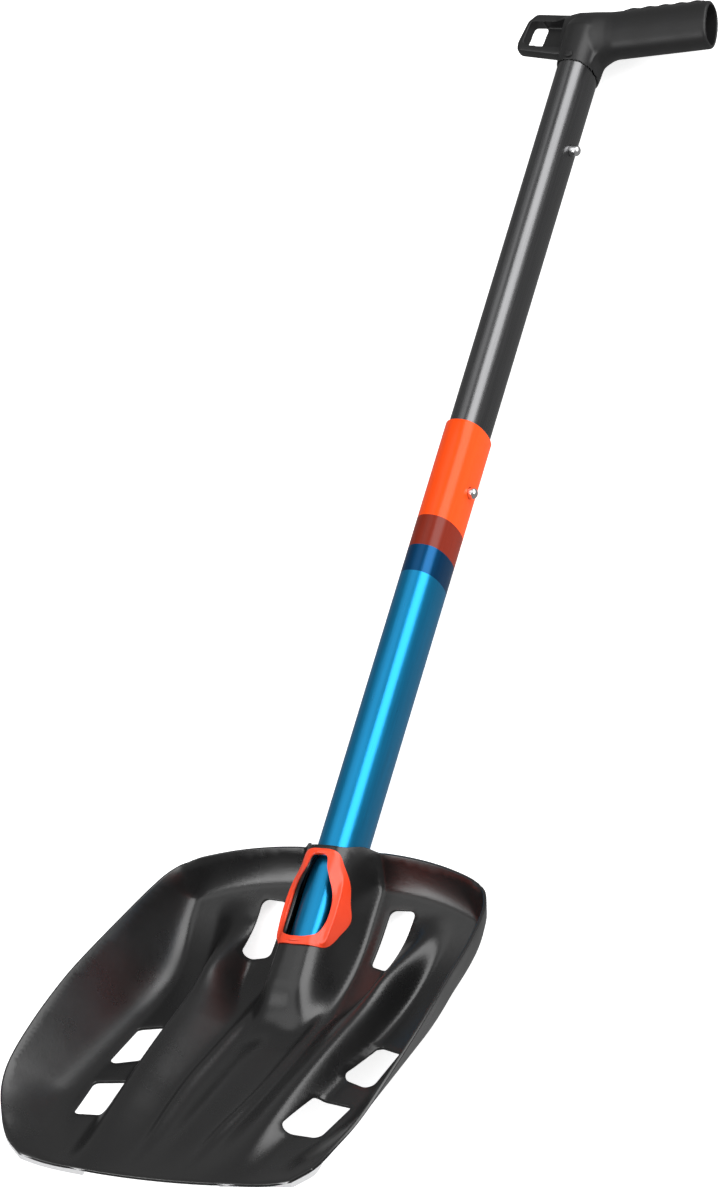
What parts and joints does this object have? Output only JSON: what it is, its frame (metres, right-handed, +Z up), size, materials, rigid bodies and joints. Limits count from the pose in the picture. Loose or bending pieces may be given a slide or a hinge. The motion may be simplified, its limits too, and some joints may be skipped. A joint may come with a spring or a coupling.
{
  "type": "avalanche shovel",
  "caption": "Two-piece telescopic avalanche shovel with a curved slotted blade, oval shaft tubes locked by snap buttons and a one-sided T grip.",
  "frame": {"origin": "on the ground under the middle of the whole object's box, at full length, lying on its back", "axes": "+Y along the shaft from the blade to the grip, +Z up out of the scoop, +X to the side that the grip's tube points to"},
  "size_m": [0.2448, 0.8814, 0.1281],
  "materials": {
    "black_anodised": "matt black anodised",
    "back_plate_aluminium": "matt black anodised",
    "black_plastic": "moulded, fine grain",
    "orange_plastic": "moulded, satin",
    "blue_anodised": "satin blue anodised with orange, dark red and dark blue bands",
    "grey_anodised": "satin dark grey anodised",
    "bright_steel": "polished",
    "spring_steel": "plain rolled",
    "grip_plastic": "moulded, fine grain",
    "grip_rubber": "matt"
  },
  "bodies": {
    "blade_unit": {"blade": "black_anodised", "back_plate": "back_plate_aluminium", "socket_sleeve": "black_plastic", "window_frame": "orange_plastic"},
    "lower_shaft_unit": {"lower_shaft": "blue_anodised", "lower_shaft_plug": "black_plastic", "blade_lock_spring": "spring_steel"},
    "blade_lock": {"blade_lock_button": "bright_steel"},
    "upper_shaft_unit": {"upper_shaft": "grey_anodised", "upper_shaft_plug": "black_plastic", "extend_lock_spring": "spring_steel", "stow_lock_spring": "spring_steel", "grip": "grip_plastic", "grip_pad": "grip_rubber", "grip_rivet_front": "spring_steel", "grip_rivet_back": "spring_steel"},
    "extend_lock": {"extend_lock_button": "bright_steel"},
    "stow_lock": {"stow_lock_button": "bright_steel"}
  },
  "joints": [
    {"name": "shaft_pull_out", "type": "slide", "parent": "blade_unit", "child": "lower_shaft_unit", "axis": [0, 1, 0], "range_m": [0, 0.105], "deforming": ["blade_lock_button", "blade_lock_spring"]},
    {"name": "telescope_slide", "type": "slide", "parent": "lower_shaft_unit", "child": "upper_shaft_unit", "axis": [0, 1, 0], "range_m": [-0.2515, 0], "deforming": ["extend_lock_button", "extend_lock_spring", "stow_lock_button", "stow_lock_spring"]},
    {"name": "blade_lock_press", "type": "slide", "parent": "lower_shaft_unit", "child": "blade_lock", "axis": [0, 0, 1], "range_m": [0, 0.0026], "stiffness_N_per_m": 800},
    {"name": "extend_lock_press", "type": "slide", "parent": "upper_shaft_unit", "child": "extend_lock", "axis": [-1, 0, 0], "range_m": [0, 0.0068]},
    {"name": "stow_lock_press", "type": "slide", "parent": "upper_shaft_unit", "child": "stow_lock", "axis": [-1, 0, 0], "range_m": [0, 0.0066], "stiffness_N_per_m": 600}
  ],
  "couplings": [
    {"joint": "extend_lock_press", "follows": "telescope_slide", "ratio": -0.0265}
  ]
}
